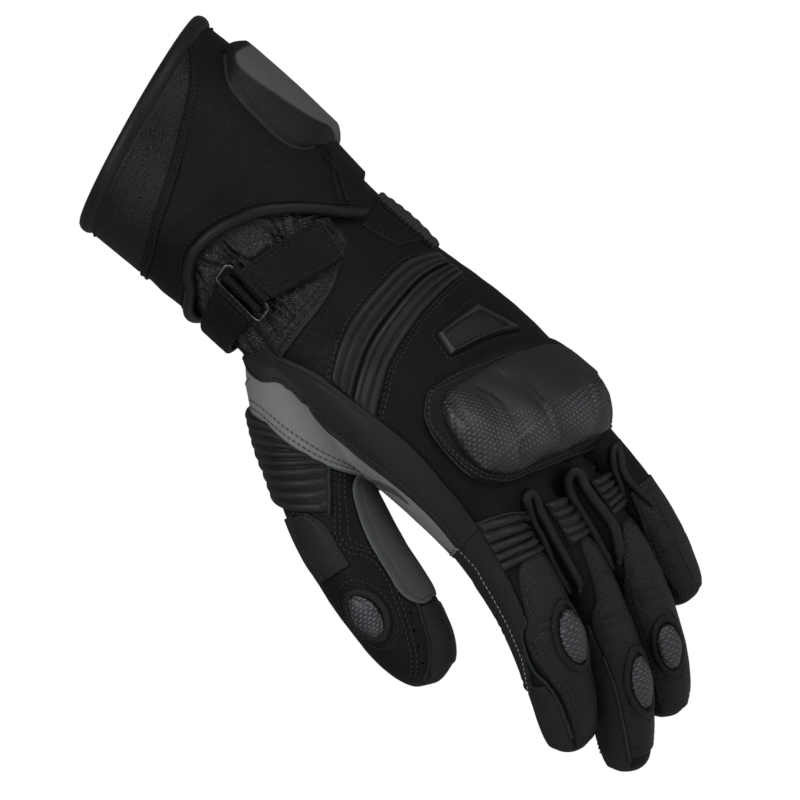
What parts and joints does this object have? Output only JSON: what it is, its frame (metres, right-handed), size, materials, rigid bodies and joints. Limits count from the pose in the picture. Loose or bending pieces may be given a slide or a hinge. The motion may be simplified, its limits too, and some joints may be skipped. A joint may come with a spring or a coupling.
{
  "type": "motorcycle glove",
  "caption": "Left-hand leather motorcycle gauntlet in its worn pose, hollow, with hard knuckle guard, rib panels, wrist strap, ring and finger sliders.",
  "frame": {"origin": "centre of the open cuff mouth, where the hand and wrist go in", "axes": "+Z out of the cuff mouth towards the elbow, fingers towards -Z, -Y back of the hand, +Y palm, -X thumb side"},
  "size_m": [0.1295, 0.1123, 0.2871],
  "materials": {
    "black_leather": "grained, semi-matt",
    "trim_leather": "smooth, satin",
    "grey_leather": "matt",
    "web_leather": "napped, matt",
    "stretch_knit": "coarse knit",
    "carbon": "moulded, carbon-look weave, satin",
    "pad_rubber": "moulded, matt",
    "dark_wire": "dark nickel"
  },
  "bodies": {
    "root": {"cuff_shell": "black_leather", "hand_shell": "black_leather", "index_stall": "black_leather", "middle_stall": "black_leather", "ring_stall": "black_leather", "little_stall": "black_leather", "thumb_stall": "black_leather", "cuff_binding": "trim_leather", "cuff_band": "black_leather", "flap_piping": "trim_leather", "cuff_pad": "pad_rubber", "wrist_shirring": "black_leather", "strap_tab": "black_leather", "wrist_strap": "black_leather", "strap_ring": "dark_wire", "outer_wrist_panel": "stretch_knit", "outer_wrist_flap": "black_leather", "back_ribs": "black_leather", "badge_plate": "black_leather", "guard_border": "black_leather", "knuckle_guard": "carbon", "side_strip": "black_leather", "palm_panel": "grey_leather", "index_ribs": "black_leather", "middle_ribs": "black_leather", "ring_ribs": "black_leather", "index_slider": "carbon", "middle_slider": "carbon", "ring_slider": "carbon", "thumb_slider": "carbon", "ridge_index_middle": "trim_leather", "ridge_middle_ring": "trim_leather", "ridge_ring_little": "trim_leather", "index_strip": "black_leather", "thumb_ribs": "black_leather", "thenar_panel": "grey_leather", "thumb_panel": "black_leather", "thumb_tip_panel": "black_leather", "web_patch": "web_leather"}
  },
  "joints": []
}
